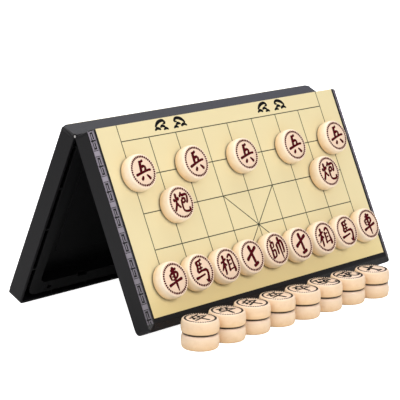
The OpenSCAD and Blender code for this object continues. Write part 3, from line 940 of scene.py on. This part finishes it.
class XIANGQI_OT_border(bpy.types.Operator):
    """Raises the key-pattern border on the three sloping edges of each board."""

    bl_idname = "xiangqi.border"
    bl_label = "Key Border"

    def execute(self, context):
        sizes, colours = context.scene.board_sizes, context.scene.finishes
        materials = [relief_finish(colours.relief),
                     plastic_finish("border_field", (0.008, 0.007, 0.008), 0.6, 1.3),
                     plastic_finish("low_border", colours.case, 0.36, 1.36)]
        mitre, round_corner, lead = sizes.bevel_w + 0.4, 2.9, 0.4
        end_length = SHELL_HIGH[1] - SHELL_LOW[1] - mitre - round_corner
        low_length = SHELL_HIGH[0] - SHELL_LOW[0] - 2 * mitre
        mirrored = (end_length - KEY_PAIR - lead) % sizes.key_period - sizes.key_period
        strips = (("left", end_length, lead, round_corner, sizes.relief),
                  ("right", end_length, mirrored, mitre, sizes.relief),
                  ("low", low_length, -9, mitre, sizes.relief / 3))
        for half in HALVES:
            parts = []
            for kind, length, first, shift, rise in strips:
                place = strip_place(kind, sizes)
                parts += [(moved(p + [shift, 0, 0], place), f, LOW if kind == "low" else m)
                          for p, f, m in relief_parts(length, rise, sizes.key_period, first)]
            mesh = soft_mesh(f"{half}_key_border", parts, half_place(half), materials, PRINT_ANGLE)
            add_piece(mesh, half + "_half")
        return {"FINISHED"}


class XIANGQI_OT_board(bpy.types.Operator):
    """Finishes the film of both boards and prints the grid and the river's waves on it."""

    bl_idname = "xiangqi.board"
    bl_label = "Printed Board"

    def execute(self, context):
        colours = context.scene.finishes
        film = sheet_finish(colours.sheet)
        inks = [print_finish("line_ink", colours.line), print_finish("river_ink", colours.river)]
        for half in HALVES:
            sheet = frame["nodes"][half + "_board_sheet"]
            sheet.data.materials.clear()
            sheet.data.materials.append(film)
            parts = board_print_parts(context.scene.board_sizes)
            mesh = soft_mesh(f"{half}_board_print", parts, half_place(half), inks, PRINT_ANGLE)
            add_piece(mesh, half + "_half")
        return {"FINISHED"}


class XIANGQI_OT_metalwork(bpy.types.Operator):
    """Finishes the hinge rod, the steel plates, the closing magnets and the liner screws."""

    bl_idname = "xiangqi.metalwork"
    bl_label = "Metalwork"

    def execute(self, context):
        steel = steel_finish("rod_steel", (0.62, 0.60, 0.58), 0.28)
        nickel = steel_finish("magnet_nickel", (0.60, 0.58, 0.55), 0.22)
        black = steel_finish("screw_black", (0.05, 0.05, 0.055), 0.38)
        finishes = {"hinge_rod": steel}
        for half in HALVES:
            finishes[half + "_steel_plate"] = steel
            finishes[half + "_closing_magnets"] = nickel
            finishes[half + "_liner_screws"] = black
        for node, material in finishes.items():
            frame["nodes"][node].data.materials.clear()
            frame["nodes"][node].data.materials.append(material)
        return {"FINISHED"}


class XIANGQI_OT_draughts(bpy.types.Operator):
    """Turns and inks every draught of the red and the black side."""

    bl_idname = "xiangqi.draughts"
    bl_label = "Draughts"

    def execute(self, context):
        colours = context.scene.finishes
        top = tinted(colours.wood, (0.94, 0.87, 0.91))
        red_wood = wood_finish("red_side_wood", colours.wood, top)
        # The black side stands on the floor: its wood is painted darker and warmer, a painted
        # shade.
        floor_shaded_wood = tinted(colours.wood, (0.89, 0.79, 0.70))
        black_wood = wood_finish("black_side_wood", floor_shaded_wood, top)
        red = print_finish("red_ink", colours.red_ink)
        black = print_finish("black_ink", colours.black_ink)
        magnet = steel_finish("base_magnet", (0.55, 0.54, 0.52), 0.3)
        chance = np.random.default_rng(32)
        for bodies, spins, materials in ((RED_BODIES, (-2, 5), [red_wood, red, magnet]),
                                         (BLACK_BODIES, (-25, 25), [black_wood, black, magnet])):
            for body in bodies:
                spin = math.radians(chance.uniform(*spins))
                add_draught(body, spin, chance.uniform(0.2, 6), materials)
        return {"FINISHED"}


class XIANGQI_OT_stage(bpy.types.Operator):
    """Lays the pale floor, hangs the lamps and sets the camera at the photograph's view."""

    bl_idname = "xiangqi.stage"
    bl_label = "Stage"

    def execute(self, context):
        scene = context.scene
        scene.view_settings.view_transform = "Standard"
        lay_floor()
        hang_lamps(scene)
        set_camera(scene)
        return {"FINISHED"}


def lay_floor():
    """A wide pale floor that shows white to the camera and keeps the object's soft shadow."""
    reach = 6.0
    mesh = bpy.data.meshes.new("floor")
    corners = [(-reach, -reach, 0), (reach, -reach, 0), (reach, reach, 0), (-reach, reach, 0)]
    mesh.from_pydata(corners, [], [(0, 1, 2, 3)])
    floor = bpy.data.objects.new("floor", mesh)
    bpy.context.scene.collection.objects.link(floor)
    material = bpy.data.materials.new("pale_floor")
    material.use_nodes = True
    tree = material.node_tree
    shader = tree.nodes["Principled BSDF"]
    shader.inputs["Base Color"].default_value = (0.82, 0.82, 0.82, 1)
    shader.inputs["Roughness"].default_value = 0.9
    shader.inputs["Specular IOR Level"].default_value = 0.0
    shader.inputs["Emission Color"].default_value = (1, 1, 1, 1)
    path = tree.nodes.new("ShaderNodeLightPath")
    tree.links.new(path.outputs["Is Camera Ray"], shader.inputs["Emission Strength"])
    mesh.materials.append(material)


def lamp(name, place, target, size, power, colour=(1, 1, 1)):
    """A square soft lamp at place that points at target; size in metres, power in watts."""
    data = bpy.data.lights.new(name, "AREA")
    data.shape = "SQUARE"
    data.size = size
    data.energy = power
    data.color = colour
    light = bpy.data.objects.new(name, data)
    bpy.context.scene.collection.objects.link(light)
    light.location = place
    light.rotation_euler = (Vector(target) - Vector(place)).to_track_quat("-Z", "Y").to_euler()


def hang_lamps(scene):
    """A key lamp in front, a wide one overhead and weaker ones at the left and behind.

    The surround is even, and white to the camera.
    """
    middle = (0, 0, 0.07)
    lamp("key", (-0.25, -1.5, 0.95), middle, 0.6, 13)
    lamp("side", (-1.3, -0.75, 0.75), middle, 0.8, 3.2)
    lamp("left", (-1.1, 0.3, 0.93), middle, 0.7, 4.5)
    lamp("overhead", (0.35, 0.35, 1.5), middle, 1.2, 12)
    lamp("back", (1.3, 0.4, 0.95), middle, 0.9, 2.6, (0.74, 0.76, 1))
    world = bpy.data.worlds.new("surround")
    scene.world = world
    world.use_nodes = True
    tree = world.node_tree
    background = tree.nodes["Background"]
    background.inputs["Color"].default_value = (1, 1, 1, 1)
    path = tree.nodes.new("ShaderNodeLightPath")
    strength = 0.42 + Wire(tree, path.outputs["Is Camera Ray"]) * 0.58
    tree.links.new(strength.socket, background.inputs["Strength"])


def set_camera(scene):
    """A long lens from the front left, a little above the box, as in the photograph."""
    heading, elevation, roll = (math.radians(a) for a in (47.66, 12.23, 0.40))
    from_hinge = Vector((-1.0773, -0.9735, 0.23938))
    forward = Vector((math.sin(heading) * math.cos(elevation),
                      math.cos(heading) * math.cos(elevation), -math.sin(elevation)))
    data = bpy.data.cameras.new("camera")
    data.sensor_width = 36
    data.lens = 155.16
    camera = bpy.data.objects.new("camera", data)
    scene.collection.objects.link(camera)
    camera.rotation_euler = (forward.to_track_quat("-Z", "Y").to_matrix()
                             @ Matrix.Rotation(roll, 3, "Z")).to_euler()
    camera.location = Vector(hinge["pos_m"]) + from_hinge
    scene.camera = camera


class XIANGQI_PT_panel(bpy.types.Panel):
    """Lists the box's pieces and the stage."""

    bl_label = "Xiangqi Box"
    bl_space_type = "VIEW_3D"
    bl_region_type = "UI"
    bl_category = "Xiangqi Box"

    def draw(self, context):
        for operator in OPERATORS:
            self.layout.operator(operator.bl_idname)
        for name in GROUPS:
            group = getattr(context.scene, name)
            for prop in group.bl_rna.properties.keys():
                if prop not in ("rna_type", "name"):
                    self.layout.prop(group, prop)


OPERATORS = (XIANGQI_OT_case, XIANGQI_OT_border, XIANGQI_OT_board, XIANGQI_OT_metalwork,
             XIANGQI_OT_draughts, XIANGQI_OT_stage)
GROUPS = {"board_sizes": BoardSizes, "draught_sizes": DraughtSizes, "finishes": Finishes}


def register():
    for cls in (*GROUPS.values(), *OPERATORS, XIANGQI_PT_panel):
        bpy.utils.register_class(cls)
    for name, group in GROUPS.items():
        setattr(bpy.types.Scene, name, bpy.props.PointerProperty(type=group))


def unregister():
    for name in GROUPS:
        delattr(bpy.types.Scene, name)
    for cls in reversed((*GROUPS.values(), *OPERATORS, XIANGQI_PT_panel)):
        bpy.utils.unregister_class(cls)


def main():
    register()
    for operator in OPERATORS:
        group, name = operator.bl_idname.split(".")
        getattr(getattr(bpy.ops, group), name)()


if __name__ == "__main__":
    main()
